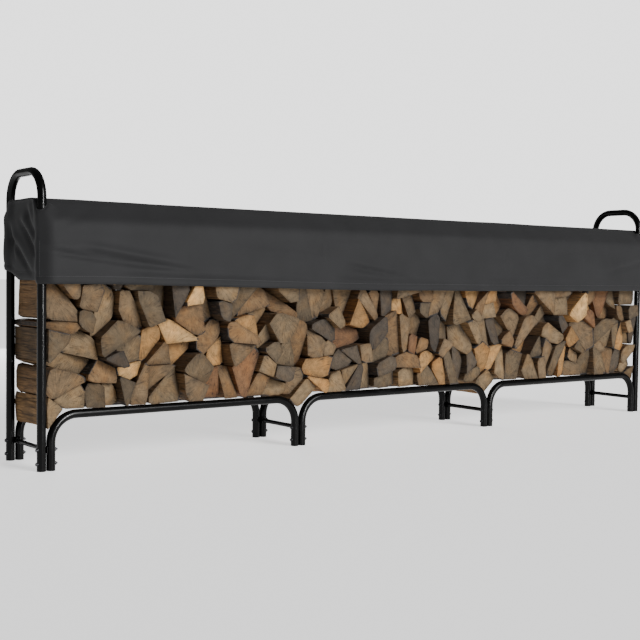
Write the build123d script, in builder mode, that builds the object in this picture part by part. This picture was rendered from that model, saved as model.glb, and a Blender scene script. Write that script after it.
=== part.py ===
from build123d import *
import math
import os
import random

# A covered firewood rack, in millimetres. X runs along the rack with the left end at -X,
# Y runs from the front (-Y) to the back, Z is up, and the origin is on the ground at the centre.

# Steel frame
rack_length = 3660.0
rack_depth = 345.0
rack_height = 1167.5
bay_names = ("left_bay", "middle_bay", "right_bay")
station_names = ("left_end", "left_inner", "right_inner", "right_end")
tube_diameter = 35.0
tube_wall = 1.5
bend_radius = 105.0
rail_height = 213.0
tab_thickness = 3.0
tab_clearance = 0.15

# Crossbars that tie the front legs to the back legs
crossbar_diameter = 20.0
crossbar_wall = 1.5
crossbar_height = 82.0
tab_width = 26.0
tab_overhang = 14.0
tab_length = 42.0

# Firewood
log_length = 361.0
log_end_jitter = 24.0
stack_height = 1040.0
layer_names = ("bottom_logs", "lower_logs", "upper_logs", "top_logs")
round_size = 152.0
brick_shift_share = 0.5
round_jitter_share = 0.30
split_angles = (0, 45, 90, 135)
split_angle_jitter = 25.0
split_offset_share = 0.10
third_split_share = 0.45
sharp_corner_share = 0.40
corner_trim_shares = (0.05, 0.36)
seat_gap = 0.3
shortest_edge = 4.0
wood_seed = 11

# Fitted fabric cover
cover_thickness = 2.0
cover_hem_height = 704.0
cover_log_clearance = 2.0
cover_post_clearance = 0.5
shoulder_drop = 90.0
crown_width = 250.0
slit_clearance = 1.5

# Values that follow from the sizes above
tube_radius = tube_diameter / 2
post_x = rack_length / 2 - tube_radius
post_y = rack_depth / 2 - tube_radius
hoop_height = rack_height - tube_radius
pair_pitch = tube_diameter + tab_thickness + 2 * tab_clearance
bay_count = len(bay_names)
station_pitch = (2 * post_x - pair_pitch) / bay_count
station_x = [-post_x + pair_pitch / 2 + station_pitch * i for i in range(bay_count + 1)]
rail_top = rail_height + tube_radius
stack_end_x = post_x - tube_radius - seat_gap
log_reach = log_length / 2 + log_end_jitter
crown_log_length = crown_width - 2 * seat_gap
cover_side_x = post_x + tube_radius + cover_post_clearance
cover_corner_x = stack_end_x + cover_log_clearance
cover_side_y = log_reach + cover_log_clearance
cover_crown_z = stack_height + seat_gap
cover_shoulder_z = cover_crown_z - shoulder_drop


def save(part, label):
    """Name a finished piece and write it to its own file."""
    part.label = label
    export_step(part, f"parts/{label}.step")


def bent_tube(corners):
    """A round steel tube along straight runs joined by tangent bends."""
    with BuildPart() as tube:
        with BuildLine() as route:
            FilletPolyline(*corners, radius=bend_radius)
        with BuildSketch(Plane(origin=route.line @ 0, z_dir=route.line % 0)):
            Circle(tube_radius)
            Circle(tube_radius - tube_wall, mode=Mode.SUBTRACT)
        sweep(path=route.line)
    return tube.part


def end_hoop(x):
    """Two posts and the handle-shaped top between them, bent from one tube."""
    front = [(x, -post_y, 0), (x, -post_y, hoop_height)]
    back = [(x, post_y, hoop_height), (x, post_y, 0)]
    return bent_tube(front + back)


def base_rail(bay, y):
    """One bay's rail, bent down into a leg at each end."""
    left_x = station_x[bay] + pair_pitch / 2
    right_x = station_x[bay + 1] - pair_pitch / 2
    left = [(left_x, y, 0), (left_x, y, rail_height)]
    right = [(right_x, y, rail_height), (right_x, y, 0)]
    return bent_tube(left + right)


def crossbar(x):
    """A thin tube with flattened ends, held between the two tubes of each leg pair."""
    tab_end = post_y + tab_overhang
    round_end = tab_end - tab_length
    with BuildPart() as bar:
        with BuildSketch(Plane.XZ.offset(-round_end)):
            with Locations((x, crossbar_height)):
                Circle(crossbar_diameter / 2)
                Circle(crossbar_diameter / 2 - crossbar_wall, mode=Mode.SUBTRACT)
        extrude(amount=2 * round_end)
        for side in (-1, 1):
            with Locations((x, side * (tab_end + round_end) / 2, crossbar_height)):
                Box(tab_thickness, tab_length, tab_width)
    return bar.part


def clip(outline, normal, limit):
    """The part of a convex outline where the point's distance along the normal is at least the limit."""
    kept = []
    for i, here in enumerate(outline):
        after = outline[(i + 1) % len(outline)]
        here_over = here[0] * normal[0] + here[1] * normal[1] - limit
        after_over = after[0] * normal[0] + after[1] * normal[1] - limit
        if here_over >= 0:
            kept.append(here)
        if here_over * after_over < 0:
            share = here_over / (here_over - after_over)
            kept.append((here[0] + share * (after[0] - here[0]), here[1] + share * (after[1] - here[1])))
    return kept


def centre_of(outline):
    """The mean of an outline's corners."""
    return (sum(p[0] for p in outline) / len(outline), sum(p[1] for p in outline) / len(outline))


def without_short_edges(outline):
    """The outline with corners closer than the shortest edge merged into one."""
    kept = []
    for point in outline:
        if not kept or math.dist(point, kept[-1]) > shortest_edge:
            kept.append(point)
    while len(kept) > 1 and math.dist(kept[0], kept[-1]) <= shortest_edge:
        kept.pop()
    return kept


def inset(outline, gap):
    """A convex, anticlockwise outline moved inwards by the gap on every edge."""
    shrunk = outline
    for i, here in enumerate(outline):
        after = outline[(i + 1) % len(outline)]
        length = math.dist(here, after)
        normal = (-(after[1] - here[1]) / length, (after[0] - here[0]) / length)
        shrunk = clip(shrunk, normal, here[0] * normal[0] + here[1] * normal[1] + gap)
    return shrunk


def trim_corners(outline, draw):
    """Cut most corners off at a slant, which leaves the gaps of a loose stack."""
    trimmed = []
    for i, here in enumerate(outline):
        if draw.random() < sharp_corner_share:
            trimmed.append(here)
            continue
        for end in (outline[i - 1], outline[(i + 1) % len(outline)]):
            share = draw.uniform(*corner_trim_shares)
            trimmed.append((here[0] + share * (end[0] - here[0]), here[1] + share * (end[1] - here[1])))
    return without_short_edges(trimmed)


def round_centres(draw):
    """Centres of the unsplit rounds: a jittered brick pattern over the stack, and one in each leg's notch."""
    columns = round(2 * stack_end_x / round_size)
    rows = round((stack_height - rail_top) / round_size)
    pitch_x = 2 * stack_end_x / columns
    pitch_z = (stack_height - rail_top) / rows
    centres = []
    for row in range(rows):
        shift = brick_shift_share * (1 - row % 2)
        for column in range(columns + row % 2):
            x = -stack_end_x + (column + shift) * pitch_x
            z = rail_top + row * pitch_z + pitch_z / 2
            x += draw.uniform(-round_jitter_share, round_jitter_share) * pitch_x
            z += draw.uniform(-round_jitter_share, round_jitter_share) * pitch_z
            centres.append((max(-stack_end_x, min(stack_end_x, x)), z))
    notches = [(max(-stack_end_x, min(stack_end_x, x)), rail_height) for x in station_x]
    return notches + [c for c in centres if min(math.dist(c, n) for n in notches) > round_size / 2]


def round_outline(index, centres):
    """The space nearer to this round's centre than to any other, over the rails and between the posts."""
    in_notch = index < len(station_x)
    floor = 0 if in_notch else rail_top + seat_gap
    outline = [(-stack_end_x, floor), (stack_end_x, floor)]
    outline += [(stack_end_x, stack_height), (-stack_end_x, stack_height)]
    here = centres[index]
    for other in centres:
        if other is here:
            continue
        apart = math.dist(here, other)
        normal = ((here[0] - other[0]) / apart, (here[1] - other[1]) / apart)
        middle = ((here[0] + other[0]) / 2, (here[1] + other[1]) / 2)
        outline = clip(outline, normal, middle[0] * normal[0] + middle[1] * normal[1])
    if in_notch:
        outline = over_the_bends(outline, station_x[index])
    return outline


def over_the_bends(outline, x):
    """Clip a log in the notch between two legs by the slopes that touch both bends."""
    slope = math.sqrt(0.5)
    bend_z = rail_height - bend_radius
    for side in (-1, 1):
        bend_x = x + side * (pair_pitch / 2 + bend_radius)
        normal = (-side * slope, slope)
        reach = bend_radius + tube_radius + seat_gap
        outline = clip(outline, normal, bend_x * normal[0] + bend_z * normal[1] + reach)
    return outline


def split(outline, draw):
    """Cleave a round into two or three pieces with straight cuts that pass near its middle."""
    middle = centre_of(outline)
    turn = draw.uniform(-split_angle_jitter, split_angle_jitter)
    angle = math.radians(draw.choice(split_angles) + turn)
    normal = (math.cos(angle), math.sin(angle))
    shift = draw.uniform(-split_offset_share, split_offset_share) * round_size
    limit = middle[0] * normal[0] + middle[1] * normal[1] + shift
    first = clip(outline, normal, limit)
    second = clip(outline, (-normal[0], -normal[1]), -limit)
    pieces = [first]
    if draw.random() < third_split_share:
        heart = centre_of(second)
        across = (-normal[1], normal[0])
        level = heart[0] * across[0] + heart[1] * across[1]
        pieces += [clip(second, across, level), clip(second, (-across[0], -across[1]), -level)]
    else:
        pieces.append(second)
    return pieces


def firewood():
    """Every log as (outline, front, length), from the same seed each time."""
    draw = random.Random(wood_seed)
    centres = round_centres(draw)
    logs = []
    for index in range(len(centres)):
        whole = without_short_edges(round_outline(index, centres))
        pieces = [whole] if index < len(station_x) else split(whole, draw)
        for piece in pieces:
            outline = without_short_edges(inset(without_short_edges(piece), seat_gap))
            if len(outline) < 3:
                continue
            outline = trim_corners(outline, draw)
            front = -log_length / 2 + draw.uniform(-log_end_jitter, log_end_jitter)
            back = log_length / 2 + draw.uniform(-log_end_jitter, log_end_jitter)
            if max(p[1] for p in outline) > stack_height - shoulder_drop:
                front, back = -crown_log_length / 2, crown_log_length / 2
            logs.append((outline, front, back - front))
    return logs


def layer_of(outline):
    """The height band that a log belongs to."""
    share = (centre_of(outline)[1] - rail_top) / (stack_height - rail_top)
    return layer_names[max(0, min(len(layer_names) - 1, int(share * len(layer_names))))]


def bay_of(outline):
    """The bay that a log stands over."""
    bay = int((centre_of(outline)[0] - station_x[0]) / station_pitch)
    return bay_names[max(0, min(bay_count - 1, bay))]


def log_pile(logs):
    """Split logs laid front to back, each a prism along Y."""
    prisms = []
    for outline, front, length in logs:
        with BuildSketch(Plane.XZ.offset(-front)) as end_face:
            with BuildLine():
                Polyline(*outline, close=True)
            make_face()
        prisms.append(extrude(end_face.sketch, amount=length, dir=(0, 1, 0)))
    with BuildPart() as pile:
        add(prisms, clean=False)
    return pile.part


def cover_form(grow, bottom):
    """The cover's shape as a solid: straight drops, corners drawn in to the posts and a crowned top."""
    side_x = cover_side_x + grow
    side_y = cover_side_y + grow
    top = cover_crown_z + grow
    corner = [(side_x, post_y + tube_radius / 2 + grow / 2), (cover_corner_x + grow / 2, side_y)]
    with BuildPart() as form:
        with BuildSketch(Plane.XY.offset(bottom)):
            with BuildLine():
                Polyline((side_x, 0), *corner, (0, side_y))
                mirror(about=Plane.YZ)
                mirror(about=Plane.XZ)
            make_face()
        extrude(amount=top - bottom)
        with BuildSketch(Plane.YZ.offset(-side_x)):
            with BuildLine():
                Polyline((crown_width / 2, top), (side_y, cover_shoulder_z + grow), (side_y, top), close=True)
            make_face()
            mirror(about=Plane.YZ)
        extrude(amount=2 * side_x, mode=Mode.SUBTRACT)
    return form.part


def cover_shell():
    """The cover's fabric, open below, with a slit for each post."""
    with BuildPart() as cover:
        add(cover_form(cover_thickness, cover_hem_height))
        add(cover_form(0, cover_hem_height - cover_thickness), mode=Mode.SUBTRACT)
        with BuildSketch(Plane.XY.offset(cover_shoulder_z)):
            with GridLocations(2 * post_x, 2 * post_y, 2, 2):
                Circle(tube_radius + slit_clearance)
        extrude(amount=rack_height, mode=Mode.SUBTRACT)
    return cover.part


def cover_panel(shell, low, high):
    """The part of the cover's fabric between two corners of a box."""
    with BuildPart() as panel:
        add(shell)
        with Locations(tuple((a + b) / 2 for a, b in zip(low, high))):
            Box(*[b - a for a, b in zip(low, high)], mode=Mode.INTERSECT)
    return panel.part


def cover_panels():
    """The cover as its sewn panels: a crown, two slopes, two long drops, two ends and two gables."""
    shell = cover_shell()
    far_x, far_y, far_z = rack_length, rack_depth, rack_height
    hem, shoulder, crown = cover_hem_height, cover_shoulder_z, crown_width / 2
    seam, gable = cover_corner_x, cover_side_x
    return {
        "cover_crown": cover_panel(shell, (-gable, -crown, shoulder), (gable, crown, far_z)),
        "cover_front_slope": cover_panel(shell, (-gable, -far_y, shoulder), (gable, -crown, far_z)),
        "cover_back_slope": cover_panel(shell, (-gable, crown, shoulder), (gable, far_y, far_z)),
        "cover_front_drop": cover_panel(shell, (-seam, -far_y, hem), (seam, 0, shoulder)),
        "cover_back_drop": cover_panel(shell, (-seam, 0, hem), (seam, far_y, shoulder)),
        "cover_left_end": cover_panel(shell, (-far_x, -far_y, hem), (-seam, far_y, shoulder)),
        "cover_right_end": cover_panel(shell, (seam, -far_y, hem), (far_x, far_y, shoulder)),
        "cover_left_gable": cover_panel(shell, (-far_x, -far_y, shoulder), (-gable, far_y, far_z)),
        "cover_right_gable": cover_panel(shell, (gable, -far_y, shoulder), (far_x, far_y, far_z)),
    }


os.makedirs("parts", exist_ok=True)
for name, x in (("left_end_hoop", -post_x), ("right_end_hoop", post_x)):
    save(end_hoop(x), name)
for bay, bay_name in enumerate(bay_names):
    save(base_rail(bay, -post_y), f"{bay_name}_front_rail")
    save(base_rail(bay, post_y), f"{bay_name}_back_rail")
for x, station in zip(station_x, station_names):
    save(crossbar(x), f"{station}_crossbar")
piles = {}
for log in firewood():
    piles.setdefault(f"{bay_of(log[0])}_{layer_of(log[0])}", []).append(log)
for name, logs in sorted(piles.items()):
    save(log_pile(logs), name)
for name, panel in cover_panels().items():
    save(panel, name)
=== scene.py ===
import math
import random

import bmesh
import bpy
import numpy as np
from mathutils import Matrix, Vector, noise
from mathutils.bvhtree import BVHTree


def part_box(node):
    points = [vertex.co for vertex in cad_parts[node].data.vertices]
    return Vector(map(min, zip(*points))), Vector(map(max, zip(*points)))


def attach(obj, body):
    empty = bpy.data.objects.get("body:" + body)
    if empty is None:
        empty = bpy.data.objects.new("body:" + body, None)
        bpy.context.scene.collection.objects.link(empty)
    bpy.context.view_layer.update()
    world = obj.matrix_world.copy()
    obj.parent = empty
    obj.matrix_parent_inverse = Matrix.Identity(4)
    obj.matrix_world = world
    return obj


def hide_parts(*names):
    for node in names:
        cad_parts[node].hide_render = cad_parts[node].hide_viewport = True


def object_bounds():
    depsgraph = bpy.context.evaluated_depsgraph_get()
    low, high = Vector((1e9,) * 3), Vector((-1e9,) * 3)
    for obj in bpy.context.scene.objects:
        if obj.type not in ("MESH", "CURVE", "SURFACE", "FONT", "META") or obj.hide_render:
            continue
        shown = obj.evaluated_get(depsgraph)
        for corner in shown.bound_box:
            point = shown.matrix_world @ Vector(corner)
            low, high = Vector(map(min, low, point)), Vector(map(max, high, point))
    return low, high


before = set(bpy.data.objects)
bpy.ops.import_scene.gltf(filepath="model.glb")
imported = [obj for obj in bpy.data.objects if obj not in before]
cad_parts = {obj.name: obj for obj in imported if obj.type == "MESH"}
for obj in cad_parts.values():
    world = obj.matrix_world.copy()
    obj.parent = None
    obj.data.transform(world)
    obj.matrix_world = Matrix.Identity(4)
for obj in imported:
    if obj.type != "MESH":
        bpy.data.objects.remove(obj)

bl_info = {
    "name": "Covered firewood log store",
    "version": (1, 0, 0),
    "blender": (4, 5, 0),
    "location": "View3D > Sidebar > Log Store",
    "description": "Dresses the log store: coated steel, split logs, bolts and a fitted fabric cover",
    "category": "Object",
}

BODY = "root"
MM = 0.001

# Sizes read from the frame
CAD_LOW, CAD_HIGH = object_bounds()
HOOP_LOW, HOOP_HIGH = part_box("right_end_hoop")
TUBE_RADIUS = (HOOP_HIGH.x - HOOP_LOW.x) / 2
POST_X = (HOOP_HIGH.x + HOOP_LOW.x) / 2
POST_Y = HOOP_HIGH.y - TUBE_RADIUS
STEEL_NODES = sorted(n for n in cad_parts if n.endswith(("hoop", "rail", "crossbar")))
CROSSBAR_NODES = [n for n in STEEL_NODES if n.endswith("crossbar")]
LOG_NODES = sorted(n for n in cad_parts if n.endswith("logs"))
COVER_NODES = sorted(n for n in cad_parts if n.startswith("cover"))
DROP_LOW, DROP_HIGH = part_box("cover_front_drop")
CROWN_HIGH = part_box("cover_crown")[1]


def linear(hex_colour):
    """An sRGB hex colour as linear RGBA."""
    shares = [int(hex_colour[i:i + 2], 16) / 255 for i in (1, 3, 5)]
    return [s / 12.92 if s <= 0.04045 else ((s + 0.055) / 1.055) ** 2.4 for s in shares] + [1.0]


def feed(tree, node, inputs):
    """Link sockets to a node's inputs, or set the inputs to plain values."""
    for key, value in inputs.items():
        if isinstance(value, bpy.types.NodeSocket):
            tree.links.new(value, node.inputs[key])
        else:
            node.inputs[key].default_value = value


def add_node(tree, kind, inputs=None, **settings):
    """Add one node, set its properties, then link or set its inputs."""
    node = tree.nodes.new(kind)
    for name, value in settings.items():
        setattr(node, name, value)
    feed(tree, node, inputs or {})
    return node


def smooth(low, high, value):
    """A smooth step from 0 at low to 1 at high."""
    share = min(1.0, max(0.0, (value - low) / (high - low)))
    return share * share * (3 - 2 * share)


def hill(away, width):
    """A smooth hill, 1 at its middle and falling off over a width to both sides."""
    return math.exp(-(away / width) ** 2)


class SteelSettings(bpy.types.PropertyGroup):
    """Finish of the rack's steel and the size of its bolts."""
    coat_colour: bpy.props.FloatVectorProperty(
        name="Coat colour", description="Colour of the powder coat on the tubes",
        subtype="COLOR", size=4, min=0, max=1, default=linear("#030303"))
    bolt_colour: bpy.props.FloatVectorProperty(
        name="Bolt colour", description="Colour of the blackened bolts and nuts",
        subtype="COLOR", size=4, min=0, max=1, default=linear("#1a1a1b"))
    head_radius: bpy.props.FloatProperty(
        name="Head radius", description="Radius over the corners of the hex heads and nuts",
        default=6.4 * MM, min=0, unit="LENGTH")
    head_height: bpy.props.FloatProperty(
        name="Head height", description="Height of a hex head or nut",
        default=4.2 * MM, min=0, unit="LENGTH")
    flange_radius: bpy.props.FloatProperty(
        name="Flange radius", description="Radius of the flange under a head or nut",
        default=8.2 * MM, min=0, unit="LENGTH")
    flange_height: bpy.props.FloatProperty(
        name="Flange height", description="Height of the flange, with the part that seats on the round tube",
        default=3.0 * MM, min=0, unit="LENGTH")
    thread_radius: bpy.props.FloatProperty(
        name="Thread radius", description="Radius of the threaded shank",
        default=3.0 * MM, min=0, unit="LENGTH")
    thread_end: bpy.props.FloatProperty(
        name="Thread end", description="Length of thread that shows past the nut",
        default=4.0 * MM, min=0, unit="LENGTH")
    lower_bolt_height: bpy.props.FloatProperty(
        name="Lower bolt height", description="Height of the lower bolt of each leg pair above the ground",
        default=28 * MM, min=0, unit="LENGTH")


class FirewoodSettings(bpy.types.PropertyGroup):
    """Shape and tone of the split logs."""
    seed: bpy.props.IntProperty(
        name="Seed", description="Picks the tones, tilts and bark of the logs", default=7, min=0)
    spacing: bpy.props.FloatProperty(
        name="Mesh spacing", description="Distance between points round a log",
        default=9 * MM, min=1 * MM, unit="LENGTH")
    edge_wear: bpy.props.FloatProperty(
        name="Edge wear", description="How far a log's long edges are worn back",
        default=1.4 * MM, min=0, unit="LENGTH")
    cleft_relief: bpy.props.FloatProperty(
        name="Cleft relief", description="Depth of the torn fibres on a split side",
        default=8.5 * MM, min=0, unit="LENGTH")
    bark_relief: bpy.props.FloatProperty(
        name="Bark relief", description="Depth of the furrows in the bark",
        default=6.0 * MM, min=0, unit="LENGTH")
    saw_relief: bpy.props.FloatProperty(
        name="Saw relief", description="Roughness of the sawn ends",
        default=1.2 * MM, min=0, unit="LENGTH")
    end_tilt: bpy.props.FloatProperty(
        name="End tilt", description="Steepest slant of a sawn end",
        default=math.radians(17), min=0, subtype="ANGLE")
    end_recess: bpy.props.FloatProperty(
        name="End recess", description="How far the shortest logs stop behind the face of the stack",
        default=80 * MM, min=0, unit="LENGTH")
    broken_share: bpy.props.FloatProperty(
        name="Broken corners", description="Share of a log's long corners that are broken off",
        default=0.2, min=0, max=1, subtype="FACTOR")
    broken_size: bpy.props.FloatProperty(
        name="Broken size", description="Widest piece broken off a long corner",
        default=24 * MM, min=0, unit="LENGTH")
    bark_colour: bpy.props.FloatVectorProperty(
        name="Bark colour", description="Colour of the bark's ridges",
        subtype="COLOR", size=4, min=0, max=1, default=linear("#4a3a2b"))


class CoverSettings(bpy.types.PropertyGroup):
    """Shape and finish of the fitted cover."""
    fabric_colour: bpy.props.FloatVectorProperty(
        name="Fabric colour", description="Colour of the coated polyester",
        subtype="COLOR", size=4, min=0, max=1, default=linear("#222223"))
    thread_colour: bpy.props.FloatVectorProperty(
        name="Thread colour", description="Colour of the sewing thread",
        subtype="COLOR", size=4, min=0, max=1, default=linear("#2a2a2b"))
    thickness: bpy.props.FloatProperty(
        name="Thickness", description="Thickness of the fabric",
        default=1.0 * MM, min=0, unit="LENGTH")
    mesh_step: bpy.props.FloatProperty(
        name="Mesh step", description="Distance between points of the cloth",
        default=10 * MM, min=2 * MM, unit="LENGTH")
    hem_depth: bpy.props.FloatProperty(
        name="Hem depth", description="Depth of the turned and sewn hem",
        default=30 * MM, min=0, unit="LENGTH")
    hem_lift: bpy.props.FloatProperty(
        name="Hem lift", description="How far the hem rides up at the back of the left end",
        default=38 * MM, min=0, unit="LENGTH")
    belly: bpy.props.FloatProperty(
        name="Belly", description="How far the hanging cloth stands out half way down",
        default=6.5 * MM, min=0, unit="LENGTH")
    end_sag: bpy.props.FloatProperty(
        name="End sag", description="How far the end panels sink in between the posts",
        default=14 * MM, min=0, unit="LENGTH")
    stitch_thickness: bpy.props.FloatProperty(
        name="Stitch thickness", description="Thickness of the sewing thread, drawn coarse enough to show",
        default=1.6 * MM, min=0, unit="LENGTH")
    stitch_pitch: bpy.props.FloatProperty(
        name="Stitch pitch", description="Distance between stitches, drawn coarse enough to show",
        default=9 * MM, min=1 * MM, unit="LENGTH")
    slit_radius: bpy.props.FloatProperty(
        name="Slit radius", description="Radius of the opening round each post",
        default=TUBE_RADIUS + 2.2 * MM, min=0, unit="LENGTH")
    slit_pull: bpy.props.FloatProperty(
        name="Slit pull", description="How far the cloth rides up against the outside of each post",
        default=22 * MM, min=0, unit="LENGTH")
    binding_radius: bpy.props.FloatProperty(
        name="Binding radius", description="Half the thickness of the sewn edge round each slit",
        default=2.4 * MM, min=0, unit="LENGTH")
    binding_steps: bpy.props.IntProperty(
        name="Binding steps", description="Points round each slit's sewn edge", default=32, min=8)


class StageSettings(bpy.types.PropertyGroup):
    """Floor, light and camera."""
    floor_colour: bpy.props.FloatVectorProperty(
        name="Floor colour", description="Colour of the plain floor",
        subtype="COLOR", size=4, min=0, max=1, default=linear("#f4f4f4"))
    floor_size: bpy.props.FloatProperty(
        name="Floor size", description="Side of the floor", default=200.0, min=1, unit="LENGTH")
    floor_glow: bpy.props.FloatProperty(
        name="Floor glow", description="Light of the floor itself, as of paper lit from below",
        default=0.85, min=0)
    key_strength: bpy.props.FloatProperty(
        name="Key strength", description="Strength of the broad light from the front right",
        default=3.6, min=0)
    key_width: bpy.props.FloatProperty(
        name="Key width", description="Width of the broad light as the rack sees it",
        default=math.radians(28), min=0, subtype="ANGLE")
    strip_power: bpy.props.FloatProperty(
        name="Strip power", description="Power of the narrow light that streaks the posts",
        default=800.0, min=0, unit="POWER")
    back_power: bpy.props.FloatProperty(
        name="Back power", description="Power of the soft light behind the rack",
        default=170.0, min=0, unit="POWER")
    sky_light: bpy.props.FloatProperty(
        name="Sky light", description="Strength of the even light from all round", default=0.16, min=0)
    backdrop: bpy.props.FloatProperty(
        name="Backdrop", description="Brightness of the plain background", default=2.2, min=0)
    camera_place: bpy.props.FloatVectorProperty(
        name="Camera place", description="Where the camera stands", subtype="TRANSLATION",
        default=(-3.525, -4.163, 0.763))
    camera_yaw: bpy.props.FloatProperty(
        name="Camera yaw", description="Turn of the camera to the right of straight ahead",
        default=math.radians(37.2), subtype="ANGLE")
    camera_pitch: bpy.props.FloatProperty(
        name="Camera pitch", description="Tilt of the camera above the horizon",
        default=math.radians(-2.3), subtype="ANGLE")
    camera_roll: bpy.props.FloatProperty(
        name="Camera roll", description="Roll of the camera about its line of sight",
        default=math.radians(0.71), subtype="ANGLE")
    camera_lens: bpy.props.FloatProperty(
        name="Lens", description="Focal length on a 36 mm sensor, in millimetres", default=62.55, min=1)


# Materials

# Metres after which a wave texture of scale 1 repeats: along an axis, or across diagonal bands on a log end
WAVE_REPEAT = 0.314
DIAGONAL_REPEAT = 0.444


def start_material(name, finish):
    """A new material as (material, tree, shader), with the shader's plain values set."""
    material = bpy.data.materials.new(name)
    material.use_nodes = True
    tree = material.node_tree
    shader = tree.nodes["Principled BSDF"]
    feed(tree, shader, finish)
    return material, tree, shader


def powder_coated_steel(settings):
    """Black powder, sprayed and baked on steel tube."""
    # The eye gets a deep black skin with narrow gleams, a faint orange peel and a few duller patches.
    material, tree, shader = start_material("powder_coated_steel", {"Specular IOR Level": 0.1})
    peel_size, patch_size, peel_depth = 3 * MM, 90 * MM, 0.4 * MM
    place = add_node(tree, "ShaderNodeTexCoord").outputs["Object"]
    peel = add_node(tree, "ShaderNodeTexNoise", {"Vector": place, "Scale": 1 / peel_size, "Detail": 2.0})
    dust = add_node(tree, "ShaderNodeTexNoise", {"Vector": place, "Scale": 1 / patch_size, "Detail": 4.0})
    gloss = add_node(tree, "ShaderNodeMapRange", {
        "Value": dust.outputs["Fac"], "From Min": 0.3, "From Max": 0.7, "To Min": 0.17, "To Max": 0.27})
    tint = add_node(tree, "ShaderNodeMix", {
        "Factor": dust.outputs["Fac"], "A": settings.coat_colour, "B": linear("#0a0a0a")}, data_type="RGBA")
    bump = add_node(tree, "ShaderNodeBump", {
        "Height": peel.outputs["Fac"], "Strength": 0.05, "Distance": peel_depth})
    feed(tree, shader, {"Base Color": tint.outputs["Result"], "Roughness": gloss.outputs["Result"],
                        "Normal": bump.outputs["Normal"]})
    return material


def blackened_bolt_steel(settings):
    """Black-oxide steel of the bolts and nuts."""
    # The eye gets a metal darker than bare steel, with paler worn spots.
    material, tree, shader = start_material("blackened_bolt_steel", {"Roughness": 0.38, "Metallic": 0.85})
    wear_size = 4 * MM
    place = add_node(tree, "ShaderNodeTexCoord").outputs["Object"]
    wear = add_node(tree, "ShaderNodeTexNoise", {"Vector": place, "Scale": 1 / wear_size, "Detail": 3.0})
    tint = add_node(tree, "ShaderNodeMix", {
        "Factor": wear.outputs["Fac"], "A": settings.bolt_colour, "B": linear("#3a3a3c")}, data_type="RGBA")
    feed(tree, shader, {"Base Color": tint.outputs["Result"]})
    return material


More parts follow.
